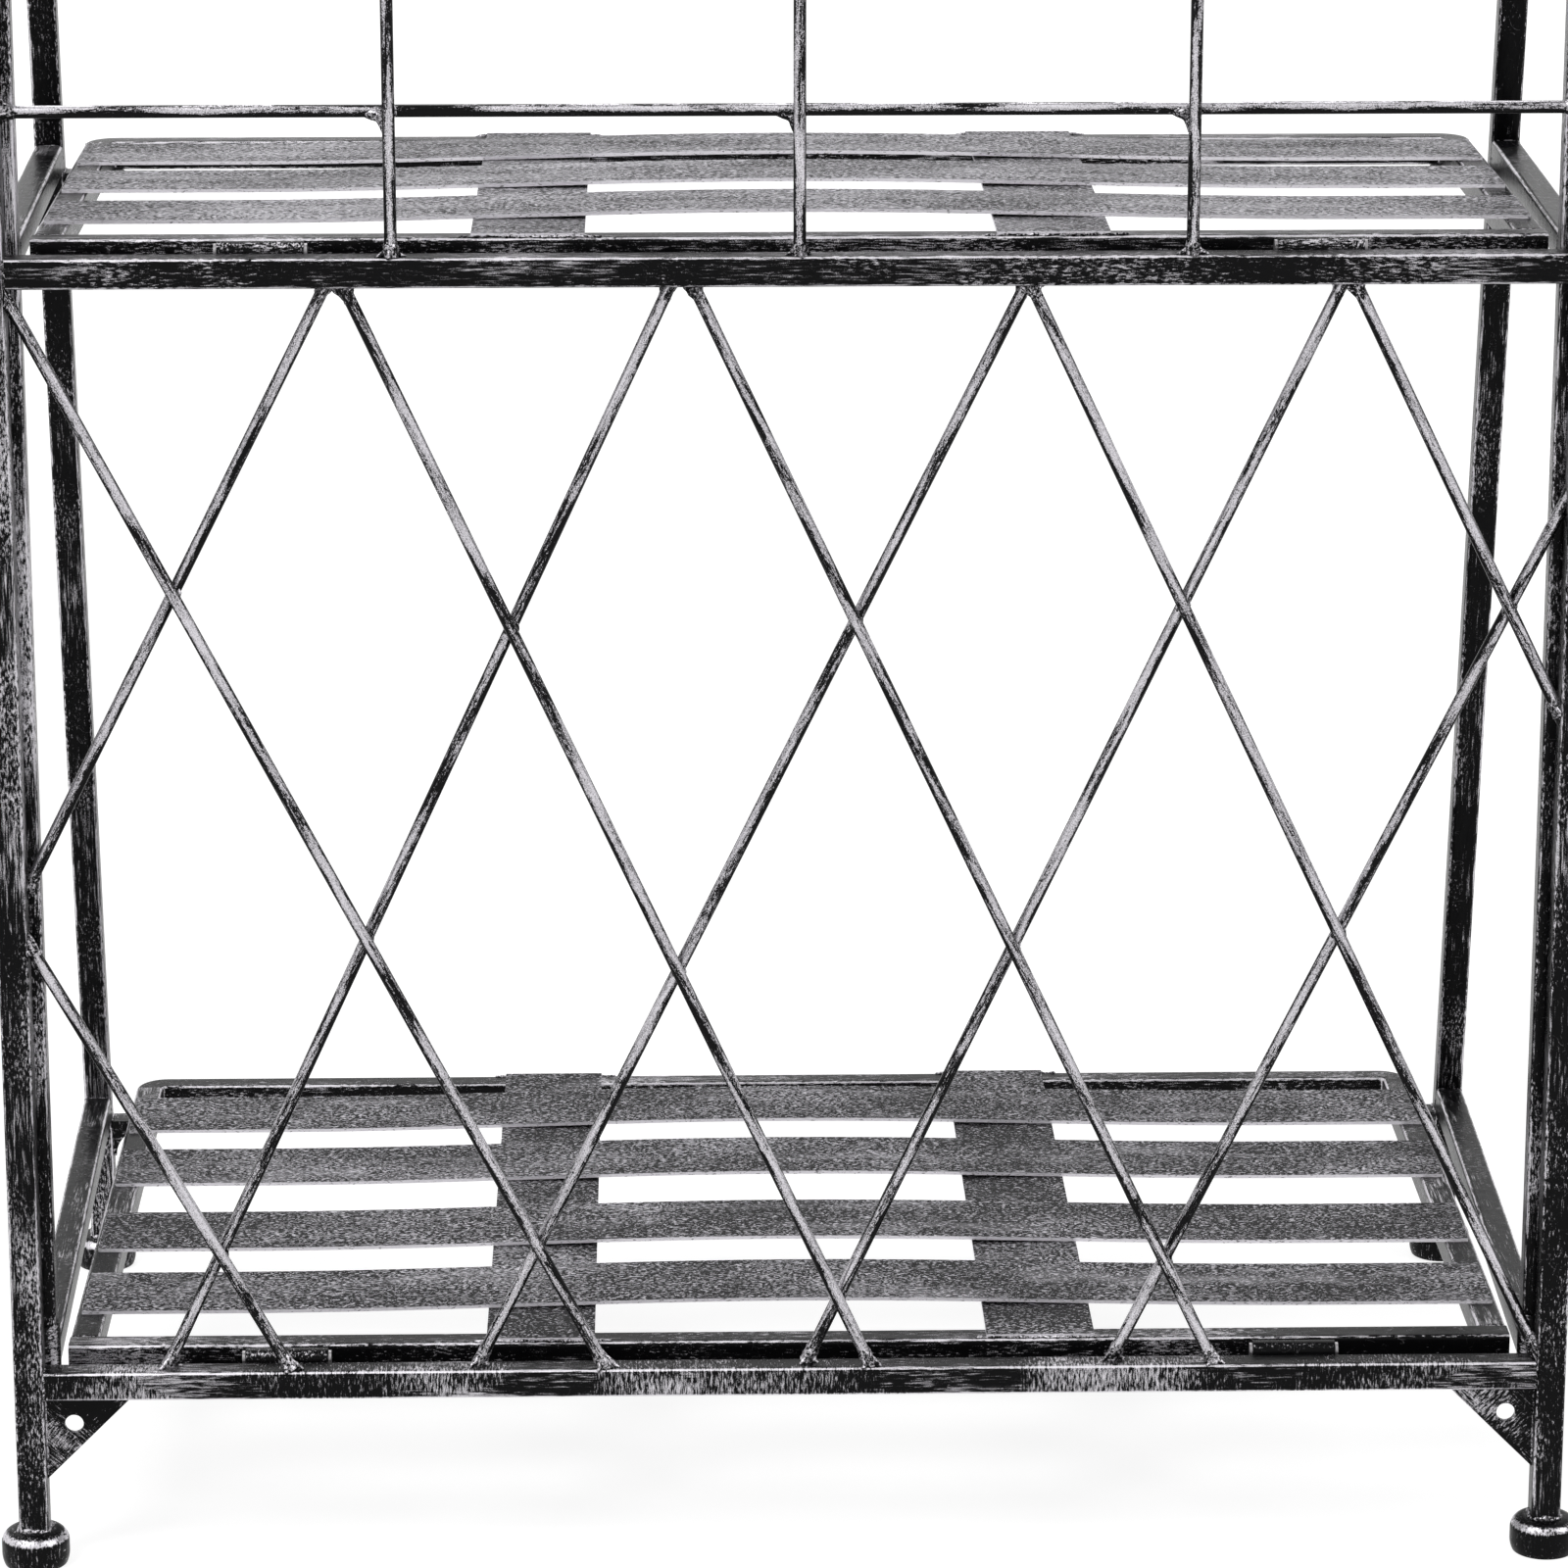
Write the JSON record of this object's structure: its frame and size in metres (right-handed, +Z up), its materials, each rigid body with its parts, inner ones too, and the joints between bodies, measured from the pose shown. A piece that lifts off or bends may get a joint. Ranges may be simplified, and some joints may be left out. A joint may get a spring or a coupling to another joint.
{
  "type": "plant stand",
  "caption": "Folding metal plant stand: slatted shelves hinged to a lattice back panel, ladder sides on long hinge rods, bun feet.",
  "frame": {"origin": "on the floor, midway between the feet", "axes": "+Z up; the lattice panel stands on the -Y side and the shelves lie behind it towards +Y; +X runs along the shelves, to the right as seen from the panel's side"},
  "size_m": [0.6848, 0.3998, 1.148],
  "materials": {
    "frame_tube": "black paint dry-brushed with antique silver, satin",
    "panel_rod": "round rod, mostly brushed silver over black, satin",
    "slat_strip": "flat strip, silver-grey brushed along its length, satin",
    "fitting": "feet, caps, plates and lugs, black with worn silver edges",
    "hinge_steel": "bare hinge rods, pins, knuckles and bushes, dull"
  },
  "bodies": {
    "back_panel": {"leg_left": "frame_tube", "leg_right": "frame_tube", "bottom_rail": "frame_tube", "middle_rail": "frame_tube", "top_rail": "frame_tube", "crest_rail": "frame_tube", "lattice_rods_near": "panel_rod", "lattice_rods_far": "panel_rod", "upright_rods": "panel_rod", "guard_rods": "panel_rod", "gusset_left": "fitting", "gusset_right": "fitting", "panel_foot_left": "fitting", "panel_foot_right": "fitting", "leg_caps": "fitting", "hinge_rod_left": "hinge_steel", "hinge_rod_right": "hinge_steel", "hinge_lugs_left": "fitting", "hinge_lugs_right": "fitting", "bottom_rail_knuckles": "hinge_steel", "middle_rail_knuckles": "hinge_steel", "top_rail_knuckles": "hinge_steel", "bottom_hinge_pins": "hinge_steel", "middle_hinge_pins": "hinge_steel", "top_hinge_pins": "hinge_steel"},
    "left_side": {"stile_left": "frame_tube", "rear_post_left": "frame_tube", "side_rails_left": "frame_tube", "barrel_left": "fitting", "stile_bushes_left": "hinge_steel", "shelf_tabs_left": "fitting", "rear_foot_left": "fitting", "post_cap_left": "fitting"},
    "right_side": {"stile_right": "frame_tube", "rear_post_right": "frame_tube", "side_rails_right": "frame_tube", "barrel_right": "fitting", "stile_bushes_right": "hinge_steel", "shelf_tabs_right": "fitting", "rear_foot_right": "fitting", "post_cap_right": "fitting"},
    "bottom_shelf": {"bottom_shelf_front_tube": "frame_tube", "bottom_shelf_side_tubes": "frame_tube", "bottom_shelf_rear_tube": "frame_tube", "bottom_shelf_slats": "slat_strip", "bottom_shelf_straps": "slat_strip", "bottom_shelf_knuckles": "hinge_steel"},
    "middle_shelf": {"middle_shelf_front_tube": "frame_tube", "middle_shelf_side_tubes": "frame_tube", "middle_shelf_rear_tube": "frame_tube", "middle_shelf_slats": "slat_strip", "middle_shelf_straps": "slat_strip", "middle_shelf_knuckles": "hinge_steel"},
    "top_shelf": {"top_shelf_front_tube": "frame_tube", "top_shelf_side_tubes": "frame_tube", "top_shelf_rear_tube": "frame_tube", "top_shelf_slats": "slat_strip", "top_shelf_straps": "slat_strip", "top_shelf_knuckles": "hinge_steel"}
  },
  "joints": [
    {"name": "bottom_shelf_lift", "type": "hinge", "parent": "back_panel", "child": "bottom_shelf", "pos_m": [0, -0.17442, 0.08805], "axis": [1, 0, 0], "range_deg": [0, 83]},
    {"name": "middle_shelf_lift", "type": "hinge", "parent": "back_panel", "child": "middle_shelf", "pos_m": [0, -0.17442, 0.56805], "axis": [1, 0, 0], "range_deg": [0, 83]},
    {"name": "top_shelf_lift", "type": "hinge", "parent": "back_panel", "child": "top_shelf", "pos_m": [0, -0.17442, 1.04805], "axis": [1, 0, 0], "range_deg": [0, 83]},
    {"name": "left_side_swing", "type": "hinge", "parent": "back_panel", "child": "left_side", "pos_m": [-0.3205, -0.17037, 0], "axis": [0, 0, 1], "range_deg": [0, 90]},
    {"name": "right_side_swing", "type": "hinge", "parent": "back_panel", "child": "right_side", "pos_m": [0.3205, -0.17037, 0], "axis": [0, 0, -1], "range_deg": [0, 90]}
  ]
}
